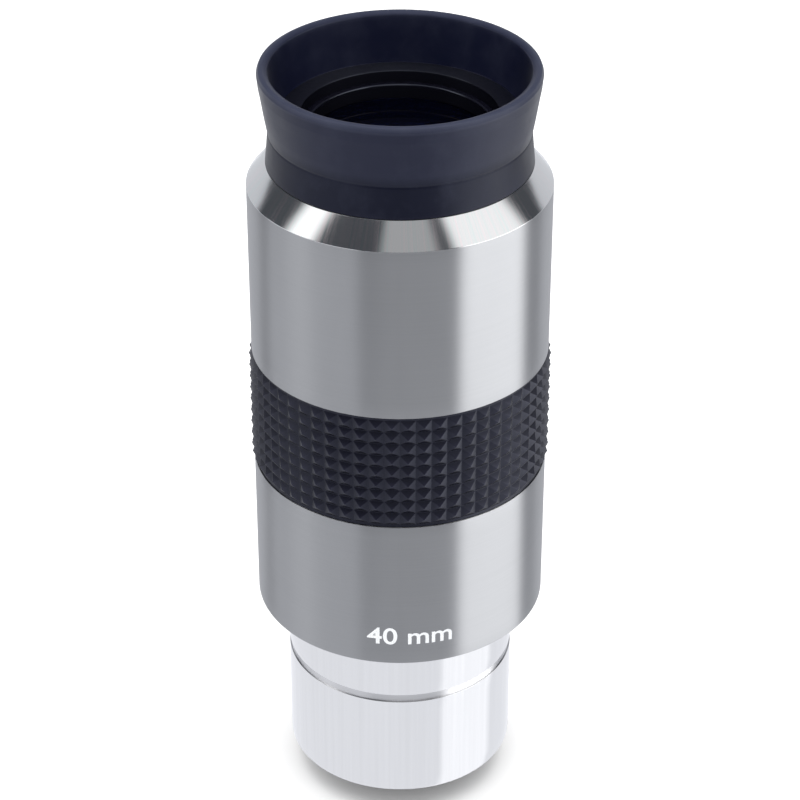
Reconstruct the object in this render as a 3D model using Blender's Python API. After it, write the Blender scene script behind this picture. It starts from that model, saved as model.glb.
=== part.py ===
"""A 40 mm Ploessl telescope eyepiece for 1.25 inch focusers, as separate turned pieces.

The eyepiece stands on the open end of its chrome barrel, with the optical axis on +Z and the
observer's eye above it. Profiles are pairs (radius, height) in millimetres, turned about Z.
"""

import math

import bmesh
import bpy

MM = 0.001

# Fit between neighbouring pieces.
GAP = 0.3

# Barrel: the chrome nosepiece that slides into the focuser.
BARREL_R = 15.85
BARREL_TOP = 25.8
BARREL_BORE_R = 13.9
BARREL_EDGE = 0.5
FILTER_THREAD_R = 14.25
FILTER_THREAD_TOP = 4.0
SAFETY_GROOVE_Z = 15.8
SAFETY_GROOVE_WIDTH = 1.25
SAFETY_GROOVE_DEPTH = 0.2
SPIGOT_R = 15.3
SPIGOT_TOP = 31.9
SPIGOT_SEAT_R = 14.4
SPIGOT_SEAT_Z = 29.2

# Field stop and the thin tube that carries it above the barrel.
STOP_TUBE_R = 14.6
STOP_TUBE_BORE_R = 14.1
STOP_TUBE_TOP = 50.3
FIELD_STOP_R = 13.4
FIELD_STOP_THICKNESS = 1.5

# Body shell.
BODY_R = 20.02
BODY_TOP = 92.4
CHAMFER_Z = 89.3
CHAMFER_TOP_R = 17.45
BODY_BORE_R = 14.9
CELL_SEAT_Z = 84.0
SOCKET_TOP = 32.3
SEAM_DEPTH = 0.5

# Rubber grip ring in its groove.
GROOVE_BOTTOM = 48.1
GROOVE_TOP = 65.0
GROOVE_R = 18.8
GRIP_VALLEY_R = 19.8
GRIP_TOOTH = 0.6
GRIP_MARGIN = 0.15
GRIP_ROWS = 9
GRIP_COLUMNS = 60

# Lens cell, whose collar also holds the eyecup.
CELL_R = 15.6
CELL_TOP = 98.8
CELL_TUBE_R = 14.6
CELL_BOTTOM = 73.0
CELL_BORE_R = 12.85
CELL_SKIRT_R = 13.6
LENS_SHELF_R = 11.9
LENS_SHELF_THICKNESS = 2.0
EYECUP_GROOVE_R = 14.9
EYECUP_GROOVE_Z = (93.7, 96.3)

# Two cemented doublets, mirror images about the mid plane, crown glass facing crown glass.
LENS_R = 12.5
LENS_MID_Z = 86.5
LENS_AIR_GAP = 0.6
CROWN_THICKNESS = 6.5
CROWN_OUTER_CURVE = 45.0
CEMENT_CURVE = 32.0
FLINT_THICKNESS = 2.0
SPACER_BORE_R = 11.75

# Threaded ring that clamps the lens stack.
CLAMP_RING_BORE_R = 11.75
CLAMP_RING_TOP = 97.3
CLAMP_RING_EDGE = 0.25
SLOT_WIDTH = 1.2
SLOT_DEPTH = 0.7

# Eyecup, one rubber moulding: a gripping band, a flared wall and a rolled lip.
EYECUP_BORE_R = 15.9
EYECUP_BEAD_R = 15.2
EYECUP_FOOT_R = 17.45
EYECUP_NECK_R = 17.07
EYECUP_NECK_Z = 96.5
BAND_TOP = 96.9
LIP_BOTTOM = 103.5
LIP_OUTER_R = 18.3
LIP_INNER_R = 16.85
LIP_Z = 104.7
EYECUP_TOP = 105.4

# Facets around the axis.
SHELL_SEGMENTS = 60
INNER_SEGMENTS = 48
LENS_SEGMENTS = 36
LENS_RINGS = 3
SHARP_ANGLE = math.radians(35)

# Surface: colour, metallic, roughness.
FINISHES = {
    "satin_aluminium": ((0.52, 0.52, 0.51), 1.0, 0.34),
    "polished_chrome": ((0.80, 0.80, 0.80), 1.0, 0.12),
    "black_anodised": ((0.020, 0.020, 0.024), 0.6, 0.45),
    "grip_rubber": ((0.020, 0.020, 0.024), 0.0, 0.55),
    "eyecup_rubber": ((0.030, 0.031, 0.040), 0.0, 0.62),
    "lens_glass": ((0.80, 0.88, 0.84), 0.0, 0.03),
}


def clear_scene():
    """Remove every object that the startup file holds."""
    for old in list(bpy.data.objects):
        bpy.data.objects.remove(old, do_unlink=True)


def finish_material(finish, node):
    """Return a Principled material of one finish for one piece."""
    colour, metallic, roughness = FINISHES[finish]
    material = bpy.data.materials.new(node + "_" + finish)
    material.use_nodes = True
    shader = material.node_tree.nodes["Principled BSDF"]
    shader.inputs["Base Color"].default_value = (*colour, 1.0)
    shader.inputs["Metallic"].default_value = metallic
    shader.inputs["Roughness"].default_value = roughness
    if finish == "lens_glass":
        shader.inputs["Transmission Weight"].default_value = 1.0
        shader.inputs["IOR"].default_value = 1.6
    return material


def turned_mesh(profile, segments, origin_z=0.0):
    """Turn a profile about Z and return the bmesh; a profile that starts on the axis is solid."""
    mesh = bmesh.new()
    points = [mesh.verts.new((radius * MM, 0.0, (height - origin_z) * MM)) for radius, height in profile]
    on_axis = profile[0][0] == 0.0 and profile[-1][0] == 0.0
    edges = [mesh.edges.new(pair) for pair in zip(points, points[1:])]
    if not on_axis:
        edges.append(mesh.edges.new((points[-1], points[0])))
    bmesh.ops.spin(
        mesh,
        geom=points + edges,
        cent=(0.0, 0.0, 0.0),
        axis=(0.0, 0.0, 1.0),
        angle=2.0 * math.pi,
        steps=segments,
        use_merge=True,
    )
    bmesh.ops.remove_doubles(mesh, verts=mesh.verts, dist=1e-6)
    bmesh.ops.recalc_face_normals(mesh, faces=mesh.faces)
    return mesh


def place(name, mesh, finish, parent, origin_z=0.0):
    """Turn a bmesh into a named object under its parent, with its origin on the axis."""
    data = bpy.data.meshes.new(name)
    mesh.to_mesh(data)
    mesh.free()
    data.shade_smooth()
    data.set_sharp_from_angle(angle=SHARP_ANGLE)
    data.materials.append(finish_material(finish, name))
    piece = bpy.data.objects.new(name, data)
    bpy.context.scene.collection.objects.link(piece)
    piece.parent = parent
    piece.location.z = origin_z * MM - parent.location.z
    return piece


def turned_piece(name, profile, finish, parent, segments=INNER_SEGMENTS, origin_z=0.0):
    """Make one turned piece of the eyepiece."""
    mesh = turned_mesh(profile, segments, origin_z)
    return place(name, mesh, finish, parent, origin_z)


def make_group(name, height):
    """Make the empty, on the axis, that a rigid group of pieces hangs from."""
    group = bpy.data.objects.new(name, None)
    bpy.context.scene.collection.objects.link(group)
    group.location.z = height * MM
    return group


def sphere_cap(apex_z, curve, rings=LENS_RINGS):
    """Points from the axis to the lens edge; a positive curve falls away below its apex."""
    points = []
    for ring in range(rings + 1):
        radius = LENS_R * ring / rings
        sag = abs(curve) - math.sqrt(curve * curve - radius * radius)
        points.append((radius, apex_z - math.copysign(sag, curve)))
    return points


def make_barrel(parent):
    """Chrome tube with a shallow safety groove, a filter thread relief and a threaded spigot."""
    groove_floor = BARREL_R - SAFETY_GROOVE_DEPTH
    groove_top = SAFETY_GROOVE_Z + SAFETY_GROOVE_WIDTH
    shoulder = BARREL_TOP + SEAM_DEPTH - GAP
    profile = [
        (FILTER_THREAD_R, 0.0),
        (BARREL_R - BARREL_EDGE, 0.0),
        (BARREL_R, BARREL_EDGE),
        (BARREL_R, SAFETY_GROOVE_Z),
        (groove_floor, groove_top - 2.0 * SAFETY_GROOVE_DEPTH),
        (BARREL_R, groove_top),
        (BARREL_R, shoulder),
        (SPIGOT_R, shoulder),
        (SPIGOT_R, SPIGOT_TOP),
        (SPIGOT_SEAT_R, SPIGOT_TOP),
        (SPIGOT_SEAT_R, SPIGOT_SEAT_Z),
        (BARREL_BORE_R, SPIGOT_SEAT_Z),
        (BARREL_BORE_R, FILTER_THREAD_TOP),
        (FILTER_THREAD_R, FILTER_THREAD_TOP),
    ]
    turned_piece("barrel", profile, "polished_chrome", parent, SHELL_SEGMENTS, BARREL_TOP)


def make_field_stop(parent):
    """Thin tube screwed into the barrel's spigot, and the stop ring that bounds the view."""
    foot_r = SPIGOT_SEAT_R - GAP
    foot_z = SPIGOT_SEAT_Z + GAP
    rest_z = SPIGOT_TOP + GAP
    tube = [
        (FIELD_STOP_R, foot_z),
        (foot_r, foot_z),
        (foot_r, rest_z),
        (STOP_TUBE_R, rest_z),
        (STOP_TUBE_R, STOP_TUBE_TOP),
        (STOP_TUBE_BORE_R, STOP_TUBE_TOP),
        (STOP_TUBE_BORE_R, rest_z + 1.0),
        (FIELD_STOP_R, rest_z),
    ]
    turned_piece("field_stop_tube", tube, "black_anodised", parent)
    ring_r = STOP_TUBE_BORE_R - GAP
    ring_z = STOP_TUBE_TOP - GAP - FIELD_STOP_THICKNESS
    knife_z = ring_z + 0.5 * FIELD_STOP_THICKNESS
    ring = [
        (ring_r, ring_z),
        (ring_r, ring_z + FIELD_STOP_THICKNESS),
        (FIELD_STOP_R, knife_z),
    ]
    turned_piece("field_stop", ring, "black_anodised", parent)


def make_body_shell(parent):
    """Aluminium body: barrel socket with a shallow seam, grip groove, cell seat and shoulder."""
    seam_r = BARREL_R + GAP
    seam_z = BARREL_TOP + SEAM_DEPTH
    socket_r = SPIGOT_R + GAP
    cell_bore_r = CELL_R + GAP
    profile = [
        (seam_r, BARREL_TOP),
        (BODY_R, BARREL_TOP),
        (BODY_R, GROOVE_BOTTOM),
        (GROOVE_R, GROOVE_BOTTOM),
        (GROOVE_R, GROOVE_TOP),
        (BODY_R, GROOVE_TOP),
        (BODY_R, CHAMFER_Z),
        (CHAMFER_TOP_R, BODY_TOP),
        (cell_bore_r, BODY_TOP),
        (cell_bore_r, CELL_SEAT_Z),
        (BODY_BORE_R, CELL_SEAT_Z),
        (BODY_BORE_R, SOCKET_TOP),
        (socket_r, SOCKET_TOP),
        (socket_r, seam_z),
        (seam_r, seam_z),
    ]
    turned_piece("body_shell", profile, "satin_aluminium", parent, SHELL_SEGMENTS)


def make_grip_ring(parent):
    """Rubber ring whose outside is a grid of square pyramids, one poked into each facet."""
    bottom = GROOVE_BOTTOM + GAP
    top = GROOVE_TOP - GAP
    grid_bottom = bottom + GRIP_MARGIN
    row_height = (top - GRIP_MARGIN - grid_bottom) / GRIP_ROWS
    inner_r = GROOVE_R + GAP
    profile = [(inner_r, top), (inner_r, bottom), (GRIP_VALLEY_R, bottom)]
    for row in range(GRIP_ROWS + 1):
        profile.append((GRIP_VALLEY_R, grid_bottom + row * row_height))
    profile.append((GRIP_VALLEY_R, top))
    mesh = turned_mesh(profile, GRIP_COLUMNS)
    middle_r = 0.5 * (inner_r + GRIP_VALLEY_R) * MM
    teeth = []
    for face in mesh.faces:
        centre = face.calc_center_median()
        outside = math.hypot(centre.x, centre.y) > middle_r
        in_grid = grid_bottom * MM < centre.z < (top - GRIP_MARGIN) * MM
        if outside and in_grid:
            teeth.append(face)
    bmesh.ops.poke(mesh, faces=teeth, offset=GRIP_TOOTH * MM)
    place("grip_ring", mesh, "grip_rubber", parent)


def make_lens_cell(parent):
    """Black cell: collar with the eyecup's groove, threaded waist, lens bore and lens shelf."""
    groove_bottom, groove_top = EYECUP_GROOVE_Z
    shelf_top = flint_outer_z(-1.0) - GAP
    shelf_bottom = shelf_top - LENS_SHELF_THICKNESS
    profile = [
        (CELL_R, CELL_TOP),
        (CELL_R, groove_top),
        (EYECUP_GROOVE_R, groove_top),
        (EYECUP_GROOVE_R, groove_bottom),
        (CELL_R, groove_bottom),
        (CELL_R, CELL_SEAT_Z + GAP),
        (CELL_TUBE_R, CELL_SEAT_Z + GAP),
        (CELL_TUBE_R, CELL_BOTTOM),
        (CELL_SKIRT_R, CELL_BOTTOM),
        (CELL_SKIRT_R, shelf_bottom),
        (LENS_SHELF_R, shelf_bottom),
        (LENS_SHELF_R, shelf_top),
        (CELL_BORE_R, shelf_top),
        (CELL_BORE_R, CELL_TOP),
    ]
    turned_piece("lens_cell", profile, "black_anodised", parent)


def flint_outer_z(side):
    """Height of a doublet's flat outer face; side is 1 towards the eye and -1 towards the barrel."""
    return LENS_MID_Z + side * (0.5 * LENS_AIR_GAP + CROWN_THICKNESS + FLINT_THICKNESS)


def make_doublet(prefix, side, parent):
    """Crown and flint elements of one doublet, with the cement line kept as a thin gap."""
    crown_apex = LENS_MID_Z + side * 0.5 * LENS_AIR_GAP
    cement_apex = crown_apex + side * CROWN_THICKNESS
    crown_inner = sphere_cap(crown_apex, -side * CROWN_OUTER_CURVE)
    crown_cement = sphere_cap(cement_apex, side * CEMENT_CURVE)
    crown = crown_inner + crown_cement[::-1]
    turned_piece(prefix + "_crown_lens", crown, "lens_glass", parent, LENS_SEGMENTS, LENS_MID_Z)
    flint_cement = sphere_cap(cement_apex + side * GAP, side * CEMENT_CURVE)
    outer_z = flint_outer_z(side)
    flint = flint_cement + [(LENS_R, outer_z), (0.0, outer_z)]
    turned_piece(prefix + "_flint_lens", flint, "lens_glass", parent, LENS_SEGMENTS, LENS_MID_Z)


def make_lens_spacer(parent):
    """Ring that keeps the two doublets apart at their rims."""
    sag = CROWN_OUTER_CURVE - math.sqrt(CROWN_OUTER_CURVE**2 - SPACER_BORE_R**2)
    half_height = 0.5 * LENS_AIR_GAP + sag - GAP
    profile = [
        (SPACER_BORE_R, LENS_MID_Z - half_height),
        (LENS_R, LENS_MID_Z - half_height),
        (LENS_R, LENS_MID_Z + half_height),
        (SPACER_BORE_R, LENS_MID_Z + half_height),
    ]
    turned_piece("lens_spacer", profile, "black_anodised", parent)


def make_clamp_ring(parent):
    """Ring that clamps the lens stack, with two spanner slots cut across its top."""
    outer_r = CELL_BORE_R - GAP
    bottom = flint_outer_z(1.0) + GAP
    profile = [
        (CLAMP_RING_BORE_R, bottom),
        (outer_r, bottom),
        (outer_r, CLAMP_RING_TOP),
        (CLAMP_RING_BORE_R + CLAMP_RING_EDGE, CLAMP_RING_TOP),
        (CLAMP_RING_BORE_R, CLAMP_RING_TOP - CLAMP_RING_EDGE),
    ]
    ring = turned_piece("lens_clamp_ring", profile, "black_anodised", parent)
    cutter_mesh = bmesh.new()
    bmesh.ops.create_cube(cutter_mesh, size=1.0)
    reach = 3.0 * LENS_R * MM
    bmesh.ops.scale(cutter_mesh, vec=(reach, SLOT_WIDTH * MM, 2.0 * SLOT_DEPTH * MM), verts=cutter_mesh.verts)
    bmesh.ops.translate(cutter_mesh, vec=(0.0, 0.0, CLAMP_RING_TOP * MM), verts=cutter_mesh.verts)
    cutter_data = bpy.data.meshes.new("spanner_slots")
    cutter_mesh.to_mesh(cutter_data)
    cutter_mesh.free()
    cutter = bpy.data.objects.new("spanner_slots", cutter_data)
    bpy.context.scene.collection.objects.link(cutter)
    cutter.hide_render = True
    cutter.display_type = "WIRE"
    cut = ring.modifiers.new("spanner_slots", "BOOLEAN")
    cut.operation = "DIFFERENCE"
    cut.solver = "EXACT"
    cut.object = cutter


def make_eyecup_band(parent, origin_z):
    """Lower part of the eyecup, whose bead sits in the lens cell's groove."""
    groove_bottom, groove_top = EYECUP_GROOVE_Z
    bottom = BODY_TOP + GAP
    profile = [
        (EYECUP_BORE_R, bottom),
        (EYECUP_FOOT_R, bottom),
        (EYECUP_NECK_R, EYECUP_NECK_Z),
        (EYECUP_NECK_R, BAND_TOP),
        (EYECUP_BORE_R, BAND_TOP),
        (EYECUP_BORE_R, groove_top - GAP),
        (EYECUP_BEAD_R, groove_top - GAP),
        (EYECUP_BEAD_R, groove_bottom + GAP),
        (EYECUP_BORE_R, groove_bottom + GAP),
    ]
    turned_piece("eyecup_band", profile, "eyecup_rubber", parent, INNER_SEGMENTS, origin_z)


def eyecup_wall(height):
    """Inner and outer radius of the flared wall at a height."""
    share = (height - BAND_TOP) / (LIP_Z - BAND_TOP)
    outer = EYECUP_NECK_R + share**0.85 * (LIP_OUTER_R - EYECUP_NECK_R)
    inner_share = max(0.0, (height - CELL_TOP) / (LIP_Z - CELL_TOP))
    inner = EYECUP_BORE_R + inner_share * (LIP_INNER_R - EYECUP_BORE_R)
    return inner, outer


def make_eyecup_flare(parent, origin_z):
    """Soft conical wall that buckles when the eye presses on the lip."""
    heights = [BAND_TOP + GAP, CELL_TOP + GAP, 0.5 * (CELL_TOP + LIP_BOTTOM), LIP_BOTTOM - GAP]
    walls = [(*eyecup_wall(height), height) for height in heights]
    outer_side = [(outer, height) for inner, outer, height in walls]
    inner_side = [(inner, height) for inner, outer, height in walls]
    profile = outer_side + inner_side[::-1]
    turned_piece("eyecup_flare", profile, "eyecup_rubber", parent, INNER_SEGMENTS, origin_z)


def make_eyecup_lip(parent):
    """Rounded lip that the observer's brow rests on."""
    inner_bottom, outer_bottom = eyecup_wall(LIP_BOTTOM)
    edge = EYECUP_TOP - LIP_Z
    middle_r = 0.5 * (LIP_INNER_R + LIP_OUTER_R)
    profile = [
        (inner_bottom, LIP_BOTTOM),
        (outer_bottom, LIP_BOTTOM),
        (LIP_OUTER_R, LIP_Z),
        (LIP_OUTER_R - 0.35 * edge, LIP_Z + 0.7 * edge),
        (middle_r, EYECUP_TOP),
        (LIP_INNER_R, LIP_Z + 0.5 * edge),
    ]
    turned_piece("eyecup_lip", profile, "eyecup_rubber", parent, INNER_SEGMENTS, LIP_BOTTOM)


def main():
    """Build the whole eyepiece."""
    clear_scene()
    housing = make_group("housing", 0.0)
    barrel_thread = make_group("barrel_thread", BARREL_TOP)
    eyecup_groove = make_group("eyecup_groove", EYECUP_GROOVE_Z[0])
    lip_guide = make_group("lip_guide", LIP_BOTTOM)
    make_barrel(barrel_thread)
    make_field_stop(barrel_thread)
    make_body_shell(housing)
    make_grip_ring(housing)
    make_lens_cell(housing)
    make_doublet("field", -1.0, housing)
    make_lens_spacer(housing)
    make_doublet("eye", 1.0, housing)
    make_clamp_ring(housing)
    make_eyecup_band(eyecup_groove, EYECUP_GROOVE_Z[0])
    make_eyecup_flare(eyecup_groove, EYECUP_GROOVE_Z[0])
    make_eyecup_lip(lip_guide)


main()
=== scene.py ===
"""Looks for the telescope eyepiece: fine turned meshes, procedural materials, light and camera.

Lengths in this script are millimetres until a mesh is made. Every piece is built around the
optical axis, which is the Z axis of the frame, with the observer's eye above.
"""

import math
from collections import namedtuple

import bmesh
import bpy
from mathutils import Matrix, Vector


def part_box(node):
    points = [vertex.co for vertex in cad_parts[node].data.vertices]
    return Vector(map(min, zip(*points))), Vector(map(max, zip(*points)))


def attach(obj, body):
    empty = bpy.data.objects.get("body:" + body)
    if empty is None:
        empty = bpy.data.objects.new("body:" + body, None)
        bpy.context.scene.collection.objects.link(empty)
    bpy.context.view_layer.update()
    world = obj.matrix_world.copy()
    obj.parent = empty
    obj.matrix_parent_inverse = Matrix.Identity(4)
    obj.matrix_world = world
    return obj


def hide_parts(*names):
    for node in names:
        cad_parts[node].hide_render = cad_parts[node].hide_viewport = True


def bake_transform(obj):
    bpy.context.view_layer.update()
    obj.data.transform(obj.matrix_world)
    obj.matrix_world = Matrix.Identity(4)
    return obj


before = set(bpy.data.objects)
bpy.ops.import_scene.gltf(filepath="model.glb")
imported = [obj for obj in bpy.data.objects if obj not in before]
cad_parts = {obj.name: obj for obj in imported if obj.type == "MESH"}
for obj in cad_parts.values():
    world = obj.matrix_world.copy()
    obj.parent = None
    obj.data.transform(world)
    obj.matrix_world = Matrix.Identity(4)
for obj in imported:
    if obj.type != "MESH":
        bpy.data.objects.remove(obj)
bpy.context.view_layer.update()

MM = 0.001


def node_radius(node):
    """Outer radius of a CAD node, in millimetres."""
    low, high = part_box(node)
    return max(high.x, -low.x) / MM


def node_bottom(node):
    """Lowest height of a CAD node, in millimetres."""
    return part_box(node)[0].z / MM


def node_top(node):
    """Highest height of a CAD node, in millimetres."""
    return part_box(node)[1].z / MM


# Outer sizes, read from the frame.
BARREL_R = node_radius("barrel")
SPIGOT_TOP = node_top("barrel")
BODY_R = node_radius("body_shell")
BODY_BOTTOM = node_bottom("body_shell")
BODY_TOP = node_top("body_shell")
CELL_R = node_radius("lens_cell")
CELL_TOP = node_top("lens_cell")
CELL_BOTTOM = node_bottom("lens_cell")
CLAMP_R = node_radius("lens_clamp_ring")
CLAMP_TOP = node_top("lens_clamp_ring")
LENS_R = node_radius("eye_flint_lens")
EYE_GLASS_TOP = node_top("eye_flint_lens")
FIELD_GLASS_BOTTOM = node_bottom("field_flint_lens")
LENS_MID = 0.5 * (EYE_GLASS_TOP + FIELD_GLASS_BOTTOM)
LIP_R = node_radius("eyecup_lip")
EYECUP_TOP = node_top("eyecup_lip")
STOP_TUBE_R = node_radius("field_stop_tube")
STOP_TUBE_BOTTOM = node_bottom("field_stop_tube")
STOP_TUBE_TOP = node_top("field_stop_tube")
STOP_RING_BOTTOM = node_bottom("field_stop")
STOP_RING_TOP = node_top("field_stop")
SPACER_BOTTOM = node_bottom("lens_spacer")
SPACER_TOP = node_top("lens_spacer")

# Details that the frame keeps plain.
TOUCH = 0.03
CHAMFER_Z = 89.3
CHAMFER_TOP_R = 17.45
GROOVE_BOTTOM = 48.1
GROOVE_TOP = 65.0
GROOVE_R = 18.8
SAFETY_GROOVE = (15.8, 17.05)
SAFETY_GROOVE_DEPTH = 0.17
BARREL_BORE_R = 13.9
FILTER_THREAD_R = 14.2
FILTER_THREAD_TOP = 4.0
SEAM_DEPTH = 0.5
SEAM_R = 16.1
SPIGOT_R = 15.3
SPIGOT_SEAT_R = 14.4
SPIGOT_SEAT_Z = 29.2
SOCKET_R = 15.6
SOCKET_TOP = 32.3
BODY_BORE_R = 14.9
CELL_SEAT_Z = 84.0
CELL_BORE_R = 12.85
CELL_TUBE_R = 14.6
CELL_SKIRT_R = 13.6
LENS_SHELF_R = 11.9
CUP_SEAT_R = 14.9
CUP_SEAT_BOTTOM = 93.7
CUP_SEAT_TOP = 96.3
BARREL_SCREW_PITCH = 0.75
FILTER_THREAD_PITCH = 0.6
FIELD_STOP_R = 13.4
BAND_CREASE_Z = 96.75
EYECUP_BORE_R = 15.66
EYECUP_WALL_R = 15.85
EYECUP_FOOT_R = 17.45

ROUND = 240
GRIP_COLUMNS = 60
GRIP_ROWS = 9
GRIP_VALLEY_R = 19.82
GRIP_TOOTH = 0.62
GRIP_EDGE = 0.045
GRIP_VALLEY = 0.05

SMOOTH_ANGLE = math.radians(32)
THREAD_STEPS = 6

Thread = namedtuple("Thread", "wall_r low high pitch depth")


# ---------------------------------------------------------------------------------------------
# Outlines and turned meshes
# ---------------------------------------------------------------------------------------------

def rounded(outline, steps=4):
    """Round the corners (radius, height, fillet) of a closed outline."""
    points = []
    for index, (radius, height, fillet) in enumerate(outline):
        corner = Vector((radius, height))
        if fillet == 0.0:
            points.append(corner)
            continue
        before = Vector(outline[index - 1][:2]) - corner
        after = Vector(outline[(index + 1) % len(outline)][:2]) - corner
        reach = fillet / math.tan(0.5 * before.angle(after))
        start = corner + before.normalized() * min(reach, 0.49 * before.length)
        end = corner + after.normalized() * min(reach, 0.49 * after.length)
        for step in range(steps + 1):
            t = step / steps
            points.append(start * (1 - t) ** 2 + corner * 2 * t * (1 - t) + end * t * t)
    return points


def divided(points, longest, threads=()):
    """Split the long stretches of a closed outline, and split threaded walls finely."""
    result = []
    for index, point in enumerate(points):
        following = points[(index + 1) % len(points)]
        step_length = longest
        for thread in threads:
            if max(abs(point.x - thread.wall_r), abs(following.x - thread.wall_r)) < 0.01:
                step_length = thread.pitch / THREAD_STEPS
        count = max(1, math.ceil((following - point).length / step_length))
        for step in range(count):
            result.append(point.lerp(following, step / count))
    return result


def turned(name, points, segments=ROUND):
    """Turn a closed outline about the axis, and return the new object."""
    mesh = bmesh.new()
    ring = [mesh.verts.new((point[0] * MM, 0.0, point[1] * MM)) for point in points]
    edges = [mesh.edges.new((ring[index - 1], ring[index])) for index in range(len(ring))]
    bmesh.ops.spin(
        mesh,
        geom=ring + edges,
        cent=(0.0, 0.0, 0.0),
        axis=(0.0, 0.0, 1.0),
        angle=2.0 * math.pi,
        steps=segments,
        use_merge=True,
    )
    bmesh.ops.remove_doubles(mesh, verts=mesh.verts, dist=1e-7)
    bmesh.ops.recalc_face_normals(mesh, faces=mesh.faces)
    return add_object(name, mesh)


def add_object(name, mesh):
    """Link a bmesh as a new smooth object."""
    data = bpy.data.meshes.new(name)
    mesh.to_mesh(data)
    mesh.free()
    data.shade_smooth()
    data.set_sharp_from_angle(angle=SMOOTH_ANGLE)
    piece = bpy.data.objects.new(name, data)
    bpy.context.scene.collection.objects.link(piece)
    return piece


def cut_thread(piece, thread):
    """Work a helical thread into a wall; a positive depth stands out from the axis."""
    for vertex in piece.data.vertices:
        radius = math.hypot(vertex.co.x, vertex.co.y)
        height = vertex.co.z / MM
        if abs(radius / MM - thread.wall_r) > 0.01 or not thread.low < height < thread.high:
            continue
        turn = math.atan2(vertex.co.y, vertex.co.x) / (2.0 * math.pi)
        ridge = abs(2.0 * ((height / thread.pitch - turn) % 1.0) - 1.0)
        fade = min(1.0, (height - thread.low) / thread.pitch, (thread.high - height) / thread.pitch)
        scale = (thread.wall_r + thread.depth * ridge * fade) * MM / radius
        vertex.co.x *= scale
        vertex.co.y *= scale
    piece.data.update()


def turned_with_threads(name, outline, longest, threads):
    """Turn an outline and work its threads in."""
    piece = turned(name, divided(rounded(outline), longest, threads))
    for thread in threads:
        cut_thread(piece, thread)
    return piece


def dress(piece, body, slot, replaced, *materials):
    """Give a piece its materials, its body and the nodes it stands for; the slot argument is not used."""
    for material in materials:
        piece.data.materials.append(material)
    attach(piece, body)
    if replaced:
        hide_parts(*replaced)
    return piece


# ---------------------------------------------------------------------------------------------
# Materials
# ---------------------------------------------------------------------------------------------

class Surface:
    """A Principled material and short ways to add nodes to it."""

    def __init__(self, name, colour, metallic, roughness):
        self.material = bpy.data.materials.new(name)
        self.material.use_nodes = True
        self.tree = self.material.node_tree
        self.shader = self.tree.nodes["Principled BSDF"]
        self.set(**{"Base Color": (*colour, 1.0), "Metallic": metallic, "Roughness": roughness})

    def set(self, **inputs):
        """Set plain values, or link sockets, on the shader."""
        for name, value in inputs.items():
            self.feed(self.shader.inputs[name], value)

    def feed(self, socket, value):
        """Give a socket a value, or link another node's output to it."""
        if isinstance(value, bpy.types.NodeSocket):
            self.tree.links.new(value, socket)
        else:
            socket.default_value = value

    def node(self, kind, settings=None, inputs=None):
        """Add a node with its settings and inputs."""
        node = self.tree.nodes.new(kind)
        for name, value in (settings or {}).items():
            setattr(node, name, value)
        for name, value in (inputs or {}).items():
            self.feed(node.inputs[name], value)
        return node

    def place(self, stretch=(1.0, 1.0, 1.0)):
        """Object coordinates, stretched along the axes."""
        coordinates = self.node("ShaderNodeTexCoord")
        mapping = self.node("ShaderNodeMapping", None, {"Vector": coordinates.outputs["Object"]})
        mapping.inputs["Scale"].default_value = stretch
        return mapping.outputs["Vector"]

    def noise(self, stretch, detail=3.0, roughness=0.55):
        """Noise whose grain follows the stretch; each number is grains per metre."""
        inputs = {"Vector": self.place(stretch), "Scale": 1.0, "Detail": detail, "Roughness": roughness}
        return self.node("ShaderNodeTexNoise", None, inputs).outputs["Fac"]

    def math(self, operation, first, second=0.0):
        """One arithmetic step."""
        return self.node("ShaderNodeMath", {"operation": operation}, {0: first, 1: second}).outputs[0]

    def spread(self, value, low, high, start, end):
        """Map a value from low..high to start..end, held at the ends."""
        inputs = {"Value": value, "From Min": low, "From Max": high, "To Min": start, "To Max": end}
        return self.node("ShaderNodeMapRange", None, inputs).outputs["Result"]

    def blend(self, share, first, second):
        """Mix two colours by a share."""
        node = self.node("ShaderNodeMix", {"data_type": "RGBA"})
        self.feed(node.inputs[0], share)
        self.feed(node.inputs[6], first)
        self.feed(node.inputs[7], second)
        return node.outputs[2]

    def height(self):
        """Height along the optical axis, in metres."""
        split = self.node("ShaderNodeSeparateXYZ", None, {"Vector": self.place()})
        return split.outputs["Z"]

    def radius(self):
        """Distance from the optical axis, in metres."""
        flat = self.place((1.0, 1.0, 0.0))
        return self.node("ShaderNodeVectorMath", {"operation": "LENGTH"}, {0: flat}).outputs["Value"]

    def bump(self, value, depth, strength=1.0):
        """Raise the surface by a value, at most depth metres."""
        inputs = {"Height": value, "Distance": depth, "Strength": strength}
        self.set(Normal=self.node("ShaderNodeBump", None, inputs).outputs["Normal"])


def turned_tangent(surface):
    """Direction that runs around the axis, for the sheen of turned metal."""
    tangent = surface.node("ShaderNodeTangent", {"direction_type": "RADIAL", "axis": "Z"})
    return tangent.outputs["Tangent"]


def satin_metal(name, colour, roughness, line_depth):
    """Metal turned on a lathe: fine rings that draw every reflection out along the axis."""
    surface = Surface(name, colour, 1.0, roughness)
    lines = surface.noise((20.0, 20.0, 4200.0), 4.0, 0.7)
    clouds = surface.noise((110.0, 110.0, 40.0), 3.0)
    tint = surface.spread(surface.math("MULTIPLY", lines, clouds), 0.12, 0.40, 0.97, 1.02)
    shade = surface.node("ShaderNodeVectorMath", {"operation": "SCALE"}, {0: colour, "Scale": tint})
    surface.set(**{"Base Color": shade.outputs["Vector"]})
    surface.set(Roughness=surface.spread(clouds, 0.3, 0.7, roughness - 0.02, roughness + 0.02))
    surface.set(Anisotropic=1.0, Tangent=turned_tangent(surface))
    surface.set(**{"Anisotropic Rotation": 0.25})
    surface.bump(lines, line_depth, 0.5)
    return surface.material


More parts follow.
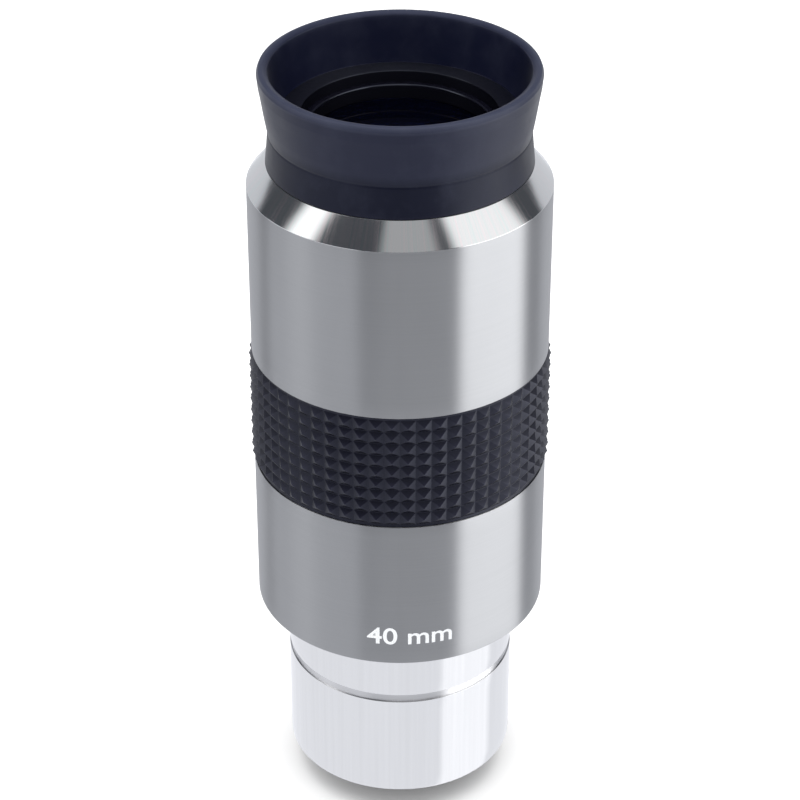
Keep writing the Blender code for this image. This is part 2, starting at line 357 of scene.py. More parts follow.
def polished_metal(name, colour, roughness):
    """Bright shoulder with a fine cut: the light breaks into streaks that run up its slope, and painted pink
    and green reflections tint its colour along the streaks.
    """
    surface = Surface(name, colour, 1.0, roughness)
    flat = surface.place((1.0, 1.0, 0.0))
    around = surface.node("ShaderNodeVectorMath", {"operation": "NORMALIZE"}, {0: flat})
    inputs = {"Vector": around.outputs["Vector"], "Scale": 46.0, "Detail": 5.0, "Roughness": 0.75}
    streaks = surface.node("ShaderNodeTexNoise", None, inputs)
    # Painted reflection: pink and green tints along the streaks stand in for coloured light mirrored by the
    # shoulder.
    pink_painted_reflection = (colour[0] * 1.06, colour[1] * 0.98, colour[2] * 0.98, 1.0)
    green_painted_reflection = (colour[0] * 0.88, colour[1] * 0.98, colour[2] * 0.96, 1.0)
    share = surface.spread(streaks.outputs["Fac"], 0.36, 0.64, 0.0, 1.0)
    surface.set(**{"Base Color": surface.blend(share, green_painted_reflection, pink_painted_reflection)})
    surface.set(Roughness=surface.spread(share, 0.0, 1.0, roughness - 0.02, roughness + 0.05))
    surface.set(Anisotropic=0.8, Tangent=turned_tangent(surface))
    surface.set(**{"Anisotropic Rotation": 0.25})
    return surface.material


def chrome(name):
    """Polished chrome plate: faint length-wise wipe marks and fine insertion scratches."""
    colour = (0.74, 0.74, 0.745)
    surface = Surface(name, colour, 1.0, 0.10)
    wipes = surface.noise((1500.0, 1500.0, 25.0), 3.0, 0.6)
    rings = surface.noise((20.0, 20.0, 3000.0), 3.0, 0.6)
    marks = surface.math("MULTIPLY", wipes, rings)
    surface.set(Roughness=surface.spread(marks, 0.15, 0.5, 0.06, 0.15))
    tint = surface.spread(wipes, 0.3, 0.7, 0.97, 1.02)
    shade = surface.node("ShaderNodeVectorMath", {"operation": "SCALE"}, {0: colour, "Scale": tint})
    surface.set(**{"Base Color": shade.outputs["Vector"]})
    surface.set(Anisotropic=0.5, Tangent=turned_tangent(surface))
    surface.set(**{"Anisotropic Rotation": 0.25})
    surface.bump(wipes, 8e-7, 0.3)
    return surface.material


def black_anodised(name, roughness=0.36, gloss=0.6):
    """Black anodised aluminium, turned, with an edge sheen that runs around the axis."""
    surface = Surface(name, (0.0035, 0.0035, 0.007), 0.0, roughness)
    rings = surface.noise((60.0, 60.0, 5000.0), 3.0, 0.6)
    face = surface.noise((1500.0, 1500.0, 1500.0), 3.0, 0.6)
    surface.set(Roughness=surface.spread(face, 0.3, 0.7, roughness - 0.05, roughness + 0.08))
    surface.set(Anisotropic=0.7, Tangent=turned_tangent(surface))
    surface.set(**{"Anisotropic Rotation": 0.25})
    surface.set(**{"Specular IOR Level": gloss, "Specular Tint": (0.76, 0.83, 1.0, 1.0)})
    surface.bump(surface.math("ADD", rings, face), 1e-6, 0.3)
    return surface.material


def grip_rubber(name, valley_r, tip_r):
    """Moulded rubber, darker in the valleys and rubbed smooth and greyer on the tips."""
    surface = Surface(name, (0.008, 0.008, 0.013), 0.0, 0.4)
    grain = surface.noise((7000.0, 7000.0, 7000.0), 4.0, 0.65)
    patches = surface.noise((420.0, 420.0, 420.0), 3.0)
    worn = surface.spread(surface.radius(), (valley_r + 0.3 * (tip_r - valley_r)) * MM, tip_r * MM, 0.0, 1.0)
    wear = surface.math("MULTIPLY", worn, surface.spread(patches, 0.35, 0.7, 0.35, 1.0))
    deep = (0.0025, 0.0025, 0.0085, 1.0)
    rubbed = (0.010, 0.010, 0.020, 1.0)
    surface.set(**{"Base Color": surface.blend(wear, deep, rubbed)})
    surface.set(Roughness=surface.spread(wear, 0.0, 1.0, 0.38, 0.24))
    surface.set(**{"Specular IOR Level": 0.36, "Specular Tint": (0.76, 0.80, 1.0, 1.0)})
    surface.bump(grain, 6e-6, 0.45)
    return surface.material


def eyecup_rubber(name):
    """Soft matt rubber with a fine moulded grain, a darker foot, specks of pale dust, and a painted
    highlight that makes the outer top of the lip paler.
    """
    surface = Surface(name, (0.008, 0.009, 0.020), 0.0, 0.5)
    grain = surface.noise((5200.0, 5200.0, 5200.0), 5.0, 0.7)
    bloom = surface.noise((260.0, 260.0, 200.0), 4.0, 0.6)
    # Painted highlight: the top of the lip, more so on its outer side, is mixed towards the pale colour.
    lip = surface.spread(surface.height(), (EYECUP_TOP - 1.1) * MM, (EYECUP_TOP - 0.2) * MM, 0.0, 1.0)
    outside = surface.spread(surface.radius(), 16.9 * MM, 17.6 * MM, 0.25, 1.0)
    dust = surface.math("MULTIPLY", surface.spread(bloom, 0.45, 0.8, 0.0, 0.4), grain)
    edge = surface.math("MULTIPLY", lip, outside)
    # The pale share is partly real dust and partly the painted lip highlight.
    share = surface.math("ADD", surface.math("MULTIPLY", edge, 0.8), dust)
    above_foot = surface.spread(surface.height(), BAND_CREASE_Z * MM, (BAND_CREASE_Z + 1.5) * MM, 0.0, 1.0)
    foot = (0.0020, 0.0030, 0.0130, 1.0)
    wall = (0.0038, 0.0052, 0.0210, 1.0)
    # Pale colour of the dust and of the painted lip highlight.
    pale = (0.038, 0.043, 0.070, 1.0)
    surface.set(**{"Base Color": surface.blend(share, surface.blend(above_foot, foot, wall), pale)})
    surface.set(Roughness=surface.spread(bloom, 0.3, 0.7, 0.37, 0.47))
    surface.set(**{"Specular IOR Level": surface.spread(above_foot, 0.0, 1.0, 0.24, 0.33)})
    surface.set(**{"Specular Tint": (0.84, 0.88, 1.0, 1.0)})
    surface.set(**{"Sheen Weight": 0.05, "Sheen Roughness": 0.25, "Sheen Tint": (0.9, 0.93, 1.0, 1.0)})
    surface.bump(grain, 1.2e-5, 0.4)
    return surface.material


def coated_glass_painted_dark(name):
    """Optical glass with a thin anti-reflection coat, which leaves a faint violet tint, and a dark blue
    colour that dims the light through it: painted shade for the dark inside of the eyepiece.
    """
    # Painted shade: the dark blue colour lets little light through the glass, standing in for the shadow
    # inside the eyepiece.
    surface = Surface(name, (0.012, 0.02, 0.09), 0.0, 0.02)
    haze = surface.noise((300.0, 300.0, 300.0), 2.0)
    surface.set(Roughness=surface.spread(haze, 0.4, 0.8, 0.0, 0.03))
    surface.set(**{"Transmission Weight": 0.97, "IOR": 1.6})
    surface.set(**{"Thin Film Thickness": 105.0, "Thin Film IOR": 1.38})
    return surface.material


def printing_ink(name):
    """White screen-printed ink with a slightly uneven body."""
    surface = Surface(name, (0.72, 0.74, 0.76), 0.0, 0.55)
    grain = surface.noise((9000.0, 9000.0, 9000.0), 3.0)
    pale = (0.80, 0.82, 0.84, 1.0)
    thin = (0.62, 0.64, 0.66, 1.0)
    surface.set(**{"Base Color": surface.blend(grain, thin, pale)})
    surface.bump(grain, 3e-6, 0.4)
    return surface.material


# ---------------------------------------------------------------------------------------------
# Metal pieces
# ---------------------------------------------------------------------------------------------

def make_body():
    """Body shell: satin outside, polished shoulder, blackened bore and a threaded socket."""
    outline = [
        (SEAM_R, BODY_BOTTOM, 0.08),
        (BODY_R, BODY_BOTTOM, 0.12),
        (BODY_R, GROOVE_BOTTOM, 0.08),
        (GROOVE_R, GROOVE_BOTTOM, 0.0),
        (GROOVE_R, GROOVE_TOP, 0.0),
        (BODY_R, GROOVE_TOP, 0.08),
        (BODY_R, CHAMFER_Z, 0.14),
        (CHAMFER_TOP_R, BODY_TOP, 0.08),
        (CELL_R + TOUCH, BODY_TOP, 0.1),
        (CELL_R + TOUCH, CELL_SEAT_Z, 0.0),
        (BODY_BORE_R, CELL_SEAT_Z, 0.1),
        (BODY_BORE_R, SOCKET_TOP, 0.1),
        (SOCKET_R, SOCKET_TOP, 0.0),
        (SOCKET_R, BODY_BOTTOM + SEAM_DEPTH, 0.1),
        (SEAM_R, BODY_BOTTOM + SEAM_DEPTH, 0.0),
    ]
    socket = Thread(SOCKET_R, BODY_BOTTOM + SEAM_DEPTH + 0.3, SOCKET_TOP - 0.2, BARREL_SCREW_PITCH, -0.25)
    piece = turned_with_threads("body", outline, 2.0, [socket])
    satin = satin_metal("satin_body_metal", (0.41, 0.415, 0.425), 0.34, 1e-6)
    polished = polished_metal("polished_shoulder_metal", (0.68, 0.68, 0.69), 0.13)
    black = black_anodised("blackened_bore")
    dress(piece, "housing", "body_metal", ["body_shell"], satin, polished, black)
    for face in piece.data.polygons:
        radius = math.hypot(face.center.x, face.center.y) / MM
        height = face.center.z / MM
        slope = (BODY_R - radius) - (height - CHAMFER_Z) * (BODY_R - CHAMFER_TOP_R) / (BODY_TOP - CHAMFER_Z)
        if height > CHAMFER_Z - 0.12 and abs(slope) < 0.15:
            face.material_index = 1
        elif radius < SOCKET_R + 0.1:
            face.material_index = 2
    return piece


def make_barrel():
    """Chrome barrel with its safety groove, filter thread, threaded spigot and stop-tube seat."""
    groove_low, groove_high = SAFETY_GROOVE
    floor_r = BARREL_R - SAFETY_GROOVE_DEPTH
    shoulder = BODY_BOTTOM + SEAM_DEPTH - TOUCH
    outline = [
        (FILTER_THREAD_R, 0.0, 0.15),
        (BARREL_R, 0.0, 0.35),
        (BARREL_R, groove_low, 0.03),
        (floor_r, groove_low + 0.12, 0.03),
        (floor_r, groove_high - 0.12, 0.03),
        (BARREL_R, groove_high, 0.03),
        (BARREL_R, shoulder, 0.06),
        (SPIGOT_R, shoulder, 0.06),
        (SPIGOT_R, SPIGOT_TOP, 0.2),
        (SPIGOT_SEAT_R, SPIGOT_TOP, 0.1),
        (SPIGOT_SEAT_R, SPIGOT_SEAT_Z, 0.0),
        (BARREL_BORE_R, SPIGOT_SEAT_Z, 0.05),
        (BARREL_BORE_R, FILTER_THREAD_TOP, 0.05),
        (FILTER_THREAD_R, FILTER_THREAD_TOP, 0.0),
    ]
    filter_top = FILTER_THREAD_TOP - 0.2
    filter_thread = Thread(FILTER_THREAD_R, 0.3, filter_top, FILTER_THREAD_PITCH, -0.28)
    spigot_thread = Thread(SPIGOT_R, shoulder + 0.5, SPIGOT_TOP - 0.25, BARREL_SCREW_PITCH, -0.35)
    piece = turned_with_threads("barrel_tube", outline, 2.0, [filter_thread, spigot_thread])
    plate = chrome("chrome_plate")
    band = satin_metal("turned_groove_metal", (0.72, 0.72, 0.73), 0.34, 1e-6)
    black = black_anodised("blackened_barrel_bore")
    dress(piece, "barrel", "barrel_chrome", ["barrel"], plate, band, black)
    for face in piece.data.polygons:
        radius = math.hypot(face.center.x, face.center.y) / MM
        height = face.center.z / MM
        if groove_low < height < groove_high and radius > SPIGOT_R:
            face.material_index = 1
        elif radius < FILTER_THREAD_R + 0.02 and height > 0.15:
            face.material_index = 2
    return piece


def make_lens_cell():
    """Black cell: ledge, recess around the eye lens, eyecup groove, seat and lens shelf."""
    shelf_top = FIELD_GLASS_BOTTOM - TOUCH
    outline = [
        (CELL_R, CELL_TOP, 0.15),
        (CELL_R, CUP_SEAT_TOP, 0.05),
        (CUP_SEAT_R, CUP_SEAT_TOP, 0.1),
        (CUP_SEAT_R, CUP_SEAT_BOTTOM, 0.1),
        (CELL_R, CUP_SEAT_BOTTOM, 0.05),
        (CELL_R, CELL_SEAT_Z + TOUCH, 0.1),
        (CELL_TUBE_R, CELL_SEAT_Z + TOUCH, 0.0),
        (CELL_TUBE_R, CELL_BOTTOM, 0.15),
        (CELL_SKIRT_R, CELL_BOTTOM, 0.15),
        (CELL_SKIRT_R, shelf_top - 2.0, 0.0),
        (LENS_SHELF_R, shelf_top - 2.0, 0.1),
        (LENS_SHELF_R, shelf_top, 0.1),
        (CELL_BORE_R, shelf_top, 0.0),
        (CELL_BORE_R, CELL_TOP, 0.13),
    ]
    piece = turned("lens_cell_body", divided(rounded(outline), 1.5))
    satin = black_anodised("cell_black", 0.36, 0.9)
    dead = black_anodised("cell_bore_black", 0.5, 0.12)
    dress(piece, "housing", "black_anodised", ["lens_cell"], satin, dead)
    blacken_below(piece, CELL_TOP - 0.2)
    return piece


def blacken_below(piece, height):
    """Give a piece's second material to all of it that lies below a height in millimetres."""
    for face in piece.data.polygons:
        if face.center.z < height * MM:
            face.material_index = 1


def make_clamp_ring():
    """Clamp ring around the eye lens, with a rounded inner edge and two spanner slots."""
    bore_r = CLAMP_R - 0.8
    bottom = EYE_GLASS_TOP + TOUCH
    outline = [
        (bore_r, bottom, 0.05),
        (CLAMP_R + 0.2, bottom, 0.05),
        (CLAMP_R + 0.2, CLAMP_TOP, 0.08),
        (bore_r, CLAMP_TOP, 0.28),
    ]
    piece = turned("clamp_ring", divided(rounded(outline, 6), 0.4))
    slots = bmesh.new()
    bmesh.ops.create_cube(slots, size=1.0)
    bmesh.ops.scale(slots, vec=(40.0 * MM, 1.2 * MM, 1.4 * MM), verts=slots.verts)
    bmesh.ops.translate(slots, vec=(0.0, 0.0, CLAMP_TOP * MM), verts=slots.verts)
    cutter = add_object("slot_cutter", slots)
    cut = piece.modifiers.new("slots", "BOOLEAN")
    cut.operation = "DIFFERENCE"
    cut.object = cutter
    apply_modifiers(piece)
    bpy.data.objects.remove(cutter, do_unlink=True)
    glossy = black_anodised("clamp_black", 0.15, 1.0)
    dead = black_anodised("clamp_bore_black", 0.5, 0.12)
    dress(piece, "housing", "black_anodised", ["lens_clamp_ring"], glossy, dead)
    blacken_below(piece, CLAMP_TOP - 0.27)
    return piece


def apply_modifiers(piece):
    """Replace a piece's mesh by what its modifiers make of it."""
    bpy.context.view_layer.update()
    view = piece.evaluated_get(bpy.context.evaluated_depsgraph_get())
    data = bpy.data.meshes.new_from_object(view)
    piece.modifiers.clear()
    piece.data = data
    data.shade_smooth()
    data.set_sharp_from_angle(angle=SMOOTH_ANGLE)


def make_stop_parts():
    """Stop tube above the barrel, with the knife-edged field stop at its top."""
    rest = SPIGOT_TOP + TOUCH
    seat_r = SPIGOT_SEAT_R - TOUCH
    wall_r = STOP_TUBE_R - 0.5
    tube = [
        (FIELD_STOP_R, STOP_TUBE_BOTTOM, 0.05),
        (seat_r, STOP_TUBE_BOTTOM, 0.05),
        (seat_r, rest, 0.0),
        (STOP_TUBE_R, rest, 0.05),
        (STOP_TUBE_R, STOP_TUBE_TOP, 0.1),
        (wall_r, STOP_TUBE_TOP, 0.1),
        (wall_r, rest + 1.0, 0.0),
        (FIELD_STOP_R, rest, 0.0),
    ]
    baffles = Thread(wall_r, rest + 1.2, STOP_RING_BOTTOM - 0.3, 0.8, 0.22)
    piece = turned_with_threads("stop_tube", tube, 2.0, [baffles])
    tube_black = black_anodised("tube_black", 0.45, 0.3)
    dress(piece, "thread_carriage", "black_anodised", ["field_stop_tube"], tube_black)
    knife = 0.5 * (STOP_RING_BOTTOM + STOP_RING_TOP)
    ring = [
        (wall_r - TOUCH, STOP_RING_BOTTOM, 0.05),
        (wall_r - TOUCH, STOP_RING_TOP, 0.05),
        (FIELD_STOP_R, knife + 0.05, 0.0),
        (FIELD_STOP_R, knife - 0.05, 0.0),
    ]
    stop = turned("stop_ring", rounded(ring))
    dress(stop, "thread_carriage", "black_anodised", ["field_stop"], black_anodised("stop_black", 0.45, 0.3))


# ---------------------------------------------------------------------------------------------
# Glass
# ---------------------------------------------------------------------------------------------

CROWN_THICKNESS = 6.5
CROWN_OUTER_CURVE = 45.0
CEMENT_CURVE = 32.0
AIR_GAP = 0.6
LENS_RINGS = 12


def cap(apex, curve):
    """Points of a spherical face from the axis to the lens edge."""
    points = []
    for ring in range(LENS_RINGS + 1):
        radius = LENS_R * ring / LENS_RINGS
        sag = abs(curve) - math.sqrt(curve * curve - radius * radius)
        points.append(Vector((radius, apex - math.copysign(sag, curve))))
    return points


def solid_of_revolution(name, points):
    """Turn an open outline that starts and ends on the axis."""
    mesh = bmesh.new()
    ring = [mesh.verts.new((point[0] * MM, 0.0, point[1] * MM)) for point in points]
    edges = [mesh.edges.new(pair) for pair in zip(ring, ring[1:])]
    bmesh.ops.spin(
        mesh,
        geom=ring + edges,
        cent=(0.0, 0.0, 0.0),
        axis=(0.0, 0.0, 1.0),
        angle=2.0 * math.pi,
        steps=ROUND // 2,
        use_merge=True,
    )
    bmesh.ops.remove_doubles(mesh, verts=mesh.verts, dist=1e-7)
    bmesh.ops.recalc_face_normals(mesh, faces=mesh.faces)
    return add_object(name, mesh)


def make_lenses():
    """Two doublets; the cement line is drawn as a hair-thin gap."""
    for prefix, side, outer in (("eye", 1.0, EYE_GLASS_TOP), ("field", -1.0, FIELD_GLASS_BOTTOM)):
        inner_apex = LENS_MID + side * 0.5 * AIR_GAP
        cement_apex = inner_apex + side * CROWN_THICKNESS
        crown = cap(inner_apex, -side * CROWN_OUTER_CURVE) + cap(cement_apex, side * CEMENT_CURVE)[::-1]
        flint = cap(cement_apex + side * 0.02, side * CEMENT_CURVE)
        flint += [Vector((LENS_R, outer)), Vector((0.0, outer))]
        for kind, points in (("crown", crown), ("flint", flint)):
            piece = solid_of_revolution(prefix + "_" + kind + "_glass", points)
            node = prefix + "_" + kind + "_lens"
            glass = coated_glass_painted_dark(prefix + "_" + kind + "_coated_glass_painted_dark")
            dress(piece, "housing", "lens_glass", [node], glass)


def make_spacer():
    """Blackened spacer between the two doublets."""
    outline = [
        (LENS_R - 0.75, SPACER_BOTTOM, 0.05),
        (LENS_R, SPACER_BOTTOM, 0.05),
        (LENS_R, SPACER_TOP, 0.05),
        (LENS_R - 0.75, SPACER_TOP, 0.05),
    ]
    piece = turned("glass_spacer", rounded(outline), ROUND // 2)
    dress(piece, "housing", "black_anodised", ["lens_spacer"], black_anodised("spacer_black", 0.5, 0.12))


# ---------------------------------------------------------------------------------------------
# Rubber
# ---------------------------------------------------------------------------------------------

def make_grip():
    """Rubber ring with a grid of square pyramids, their edges a little rounded by the mould."""
    margin = 0.4
    low = GROOVE_BOTTOM + margin
    row = (GROOVE_TOP - GROOVE_BOTTOM - 2.0 * margin) / GRIP_ROWS
    inner_r = GROOVE_R + TOUCH
    outline = [Vector((inner_r, GROOVE_TOP - TOUCH)), Vector((inner_r, GROOVE_BOTTOM + TOUCH))]
    outline.append(Vector((GRIP_VALLEY_R + 0.05, GROOVE_BOTTOM + TOUCH)))
    outline += [Vector((GRIP_VALLEY_R, low + index * row)) for index in range(GRIP_ROWS + 1)]
    outline.append(Vector((GRIP_VALLEY_R + 0.05, GROOVE_TOP - TOUCH)))
    piece = turned("grip_sleeve", outline, GRIP_COLUMNS)
    mesh = bmesh.new()
    mesh.from_mesh(piece.data)
    teeth = []
    for face in mesh.faces:
        centre = face.calc_center_median()
        outside = math.hypot(centre.x, centre.y) > (GRIP_VALLEY_R - 0.3) * MM
        if outside and low * MM < centre.z < (low + GRIP_ROWS * row) * MM:
            teeth.append(face)
    bmesh.ops.inset_individual(mesh, faces=teeth, thickness=GRIP_VALLEY * MM)
    tips = bmesh.ops.poke(mesh, faces=teeth, offset=GRIP_TOOTH * MM)["faces"]
    edges = set(edge for face in tips for edge in face.edges)
    bmesh.ops.bevel(
        mesh,
        geom=list(edges),
        offset=GRIP_EDGE * MM,
        segments=2,
        profile=0.5,
        affect="EDGES",
        clamp_overlap=True,
    )
    mesh.to_mesh(piece.data)
    mesh.free()
    piece.data.shade_smooth()
    piece.data.set_sharp_from_angle(angle=SMOOTH_ANGLE)
    normals = piece.modifiers.new("even_normals", "WEIGHTED_NORMAL")
    normals.keep_sharp = True
    rubber = grip_rubber("moulded_grip_rubber", GRIP_VALLEY_R, GRIP_VALLEY_R + GRIP_TOOTH - 0.05)
    return dress(piece, "housing", "grip_rubber", ["grip_ring"], rubber)


def make_eyecup():
    """Eyecup in one piece: gripping band, crease, flared wall and rolled lip."""
    foot = BODY_TOP + TOUCH
    outline = [
        (EYECUP_BORE_R, foot, 0.1),
        (EYECUP_FOOT_R, foot, 0.15),
        (17.24, 94.7, 0.6),
        (17.09, BAND_CREASE_Z - 0.25, 0.2),
        (17.03, BAND_CREASE_Z, 0.15),
        (17.12, BAND_CREASE_Z + 0.3, 0.3),
        (17.45, 98.9, 2.0),
        (17.85, 101.5, 3.0),
        (18.14, 103.2, 2.0),
        (LIP_R, EYECUP_TOP - 0.7, 0.35),
        (LIP_R - 0.22, EYECUP_TOP - 0.12, 0.3),
        (17.55, EYECUP_TOP, 0.5),
        (16.85, EYECUP_TOP - 0.35, 0.35),
        (16.35, 101.6, 3.0),
        (EYECUP_WALL_R, CELL_TOP - 0.1, 0.05),
        (EYECUP_BORE_R, CELL_TOP - 0.4, 0.05),
        (EYECUP_BORE_R, 96.27, 0.1),
        (14.95, 96.27, 0.1),
        (14.95, 93.73, 0.1),
        (EYECUP_BORE_R, 93.73, 0.1),
    ]
    piece = turned("eyecup", divided(rounded(outline), 0.35))
    piece.data.materials.append(eyecup_rubber("soft_eyecup_rubber"))
    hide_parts("eyecup_band", "eyecup_flare", "eyecup_lip")
    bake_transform(piece)
    return piece


MARK_WIDTH = 11.7
MARK_HEIGHT = 2.65
MARK_BASELINE = 29.05
MARK_LEFT_ANGLE = math.radians(-12.9)
MARK_CUTS = 40
MARK_RAISED = 0.016
MARK_CLEARANCE = 0.002


def make_focal_mark():
    """The focal length, printed in white near the foot of the body."""
    curve = bpy.data.curves.new("focal_length", "FONT")
    curve.body = "40 mm"
    curve.size = 1.0
    curve.extrude = 0.006
    curve.offset = 0.012
    curve.resolution_u = 6
    text = bpy.data.objects.new("focal_length", curve)
    bpy.context.scene.collection.objects.link(text)
    bpy.context.view_layer.update()
    view = text.evaluated_get(bpy.context.evaluated_depsgraph_get())
    data = bpy.data.meshes.new_from_object(view)
    bpy.data.objects.remove(text, do_unlink=True)
    mesh = bmesh.new()
    mesh.from_mesh(data)
    low_x = min(vertex.co.x for vertex in mesh.verts)
    high_x = max(vertex.co.x for vertex in mesh.verts)
    high_y = max(vertex.co.y for vertex in mesh.verts)
    for step in range(1, MARK_CUTS):
        cut_x = low_x + (high_x - low_x) * step / MARK_CUTS
        bmesh.ops.bisect_plane(
            mesh,
            geom=mesh.verts[:] + mesh.edges[:] + mesh.faces[:],
            plane_co=(cut_x, 0.0, 0.0),
            plane_no=(1.0, 0.0, 0.0),
        )
    for vertex in mesh.verts:
        along = (vertex.co.x - low_x) / (high_x - low_x) * MARK_WIDTH
        angle = MARK_LEFT_ANGLE + along / BODY_R
        radius = BODY_R + (MARK_RAISED if vertex.co.z > 0.0 else MARK_CLEARANCE)
        up = MARK_BASELINE + vertex.co.y / high_y * MARK_HEIGHT
        vertex.co = Vector((radius * math.sin(angle), -radius * math.cos(angle), up)) * MM
    bmesh.ops.recalc_face_normals(mesh, faces=mesh.faces)
    piece = add_object("focal_length_mark", mesh)
    piece.data.materials.append(printing_ink("white_print"))
    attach(piece, "housing")
    return piece


# ---------------------------------------------------------------------------------------------
# Stage, light and camera
# ---------------------------------------------------------------------------------------------

FLOOR_Z = -0.0047
FLOOR_HALF_WIDTH = 3.0
CAMERA_LENS = 120.07
CAMERA_TILT_DOWN = 31.735
CAMERA_PLACE = (0.0, -0.3099, 0.2472)
WORLD_PALE = (1.06, 1.06, 1.06, 1.0)
WORLD_IN_REFLECTIONS = (0.085, 0.088, 0.10, 1.0)
CARD_DISTANCE = 0.95
CARD_GAP = 0.01
CARD_CENTRE_Z = 0.05
CARD_STEP = 3.0
CARD_SOFT_EDGE = 8.0
SOFTBOX_WHITE = (1.0, 1.0, 1.0)
COOL_WHITE = (0.97, 0.985, 1.03)


def glow_material(name, colour):
    """Glow as strong as the card's level attribute, added to whatever is behind the card."""
    material = bpy.data.materials.new(name)
    material.use_nodes = True
    tree = material.node_tree
    tree.nodes.clear()
    glow = tree.nodes.new("ShaderNodeEmission")
    glow.inputs["Color"].default_value = (*colour, 1.0)
    level = tree.nodes.new("ShaderNodeAttribute")
    level.attribute_name = "level"
    tree.links.new(level.outputs["Fac"], glow.inputs["Strength"])
    clear = tree.nodes.new("ShaderNodeBsdfTransparent")
    both = tree.nodes.new("ShaderNodeAddShader")
    tree.links.new(glow.outputs["Emission"], both.inputs[0])
    tree.links.new(clear.outputs["BSDF"], both.inputs[1])
    output = tree.nodes.new("ShaderNodeOutputMaterial")
    tree.links.new(both.outputs["Shader"], output.inputs["Surface"])
    return material


def card_level(azimuth, azimuths, strength):
    """Full strength in the middle of a card, falling to nothing at its two sides."""
    if azimuths[1] - azimuths[0] >= 360.0:
        return strength
    inside = min(azimuth - azimuths[0], azimuths[1] - azimuth)
    return strength * min(1.0, max(0.0, inside) / CARD_SOFT_EDGE)


def studio_card(name, distance, azimuths, elevations, strength, colour):
    """Curved soft card seen only in reflections; azimuth 0 is the front, 90 the right."""
    mesh = bmesh.new()
    level_layer = mesh.verts.layers.float.new("level")
    columns = math.ceil((azimuths[1] - azimuths[0]) / CARD_STEP)
    rows = math.ceil((elevations[1] - elevations[0]) / CARD_STEP)
    grid = []
    for row in range(rows + 1):
        lift = math.radians(elevations[0] + (elevations[1] - elevations[0]) * row / rows)
        line = []
        for column in range(columns + 1):
            azimuth = azimuths[0] + (azimuths[1] - azimuths[0]) * column / columns
            turn = math.radians(azimuth)
            flat = distance * math.cos(lift)
            up = distance * math.sin(lift) + CARD_CENTRE_Z
            vertex = mesh.verts.new((math.sin(turn) * flat, -math.cos(turn) * flat, up))
            vertex[level_layer] = card_level(azimuth, azimuths, strength)
            line.append(vertex)
        grid.append(line)
    for low, high in zip(grid, grid[1:]):
        for column in range(columns):
            mesh.faces.new((low[column], low[column + 1], high[column + 1], high[column]))
    card = add_object(name, mesh)
    card.data.materials.append(glow_material(name + "_glow", colour))
    card.visible_camera = False
    card.visible_diffuse = False
    card.visible_transmission = False
    card.visible_shadow = False


def make_reflections():
    """What the metal mirrors: a pale table, two softboxes and plain reflectors."""
    cards = [
        ("table", (-180.0, 180.0), (-85.0, -15.0), 0.9, COOL_WHITE),
        ("lit_table", (40.0, 110.0), (-85.0, -25.0), 0.3, SOFTBOX_WHITE),
        ("right_softbox", (40.0, 105.0), (15.0, 65.0), 1.2, SOFTBOX_WHITE),
        ("right_low_softbox", (40.0, 105.0), (-30.0, 15.0), 2.2, SOFTBOX_WHITE),
        ("left_softbox", (-95.0, -65.0), (15.0, 65.0), 1.6, SOFTBOX_WHITE),
        ("front_reflector", (-20.0, 35.0), (15.0, 65.0), 0.4, SOFTBOX_WHITE),
        ("left_reflector", (-110.0, -25.0), (-15.0, 15.0), 0.8, COOL_WHITE),
        ("rear_reflector", (115.0, 245.0), (-15.0, 15.0), 0.7, COOL_WHITE),
        ("overhead_reflector", (-180.0, 180.0), (65.0, 89.0), 0.5, COOL_WHITE),
    ]
    for index, (name, azimuths, elevations, strength, colour) in enumerate(cards):
        distance = CARD_DISTANCE - CARD_GAP * index
        studio_card(name, distance, azimuths, elevations, strength, colour)


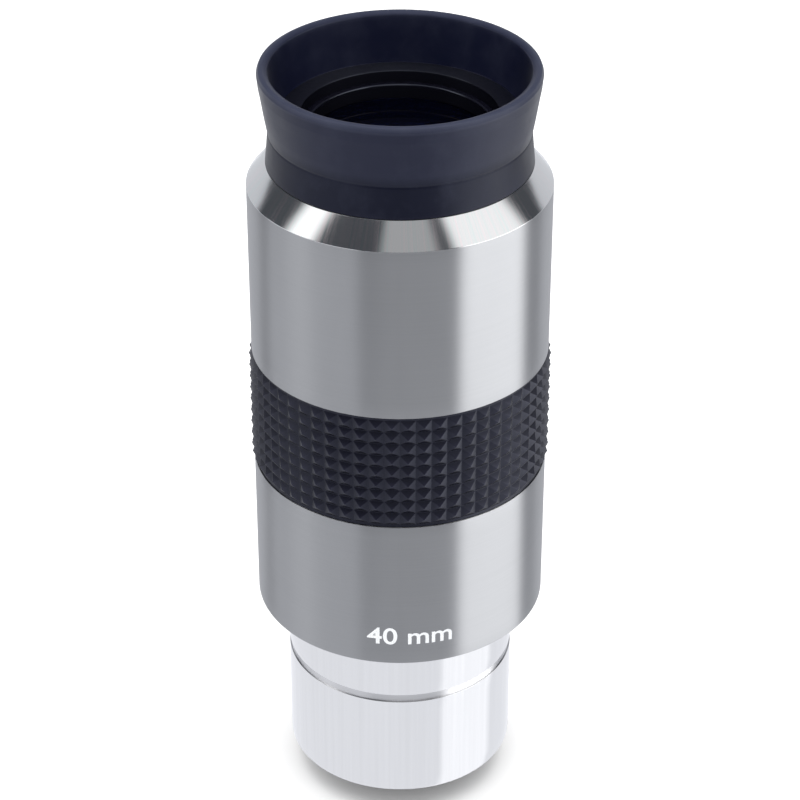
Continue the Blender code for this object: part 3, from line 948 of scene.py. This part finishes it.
def make_stage():
    """White floor, a white surround and one soft light overhead."""
    floor_mesh = bmesh.new()
    bmesh.ops.create_grid(floor_mesh, x_segments=1, y_segments=1, size=FLOOR_HALF_WIDTH)
    bmesh.ops.translate(floor_mesh, vec=(0.0, 0.0, FLOOR_Z), verts=floor_mesh.verts)
    floor = add_object("floor", floor_mesh)
    paper = Surface("white_paper", (0.97, 0.97, 0.97), 0.0, 0.9)
    fibres = paper.noise((400.0, 400.0, 400.0), 2.0)
    paper.set(**{"Base Color": paper.blend(fibres, (0.965, 0.965, 0.965, 1.0), (0.975, 0.975, 0.975, 1.0))})
    paper.set(**{"Specular IOR Level": 0.0})
    floor.data.materials.append(paper.material)
    floor.visible_glossy = False

    world = bpy.data.worlds.new("studio")
    bpy.context.scene.world = world
    world.use_nodes = True
    tree = world.node_tree
    background = tree.nodes["Background"]
    path = tree.nodes.new("ShaderNodeLightPath")
    mix = tree.nodes.new("ShaderNodeMix")
    mix.data_type = "RGBA"
    tree.links.new(path.outputs["Is Glossy Ray"], mix.inputs[0])
    mix.inputs[6].default_value = WORLD_PALE
    mix.inputs[7].default_value = WORLD_IN_REFLECTIONS
    tree.links.new(mix.outputs[2], background.inputs["Color"])
    background.inputs["Strength"].default_value = 1.0

    light = bpy.data.lights.new("overhead", "AREA")
    light.shape = "SQUARE"
    light.size = 1.4
    light.energy = 14.0
    lamp = bpy.data.objects.new("overhead", light)
    lamp.location = (0.0, -0.1, 1.3)
    lamp.visible_glossy = False
    bpy.context.scene.collection.objects.link(lamp)


def make_camera():
    """Camera at the front, looking down on the eyepiece."""
    data = bpy.data.cameras.new("camera")
    data.lens = CAMERA_LENS
    data.sensor_width = 36.0
    data.clip_start = 0.01
    camera = bpy.data.objects.new("camera", data)
    camera.location = CAMERA_PLACE
    camera.rotation_euler = (math.radians(90.0 - CAMERA_TILT_DOWN), 0.0, 0.0)
    bpy.context.scene.collection.objects.link(camera)
    bpy.context.scene.camera = camera


def main():
    """Build every piece and the studio."""
    make_body()
    make_barrel()
    make_lens_cell()
    make_clamp_ring()
    make_stop_parts()
    make_lenses()
    make_spacer()
    make_grip()
    make_eyecup()
    make_focal_mark()
    make_stage()
    make_reflections()
    make_camera()
    scene = bpy.context.scene
    scene.view_settings.view_transform = "Standard"
    scene.view_settings.look = "None"


main()
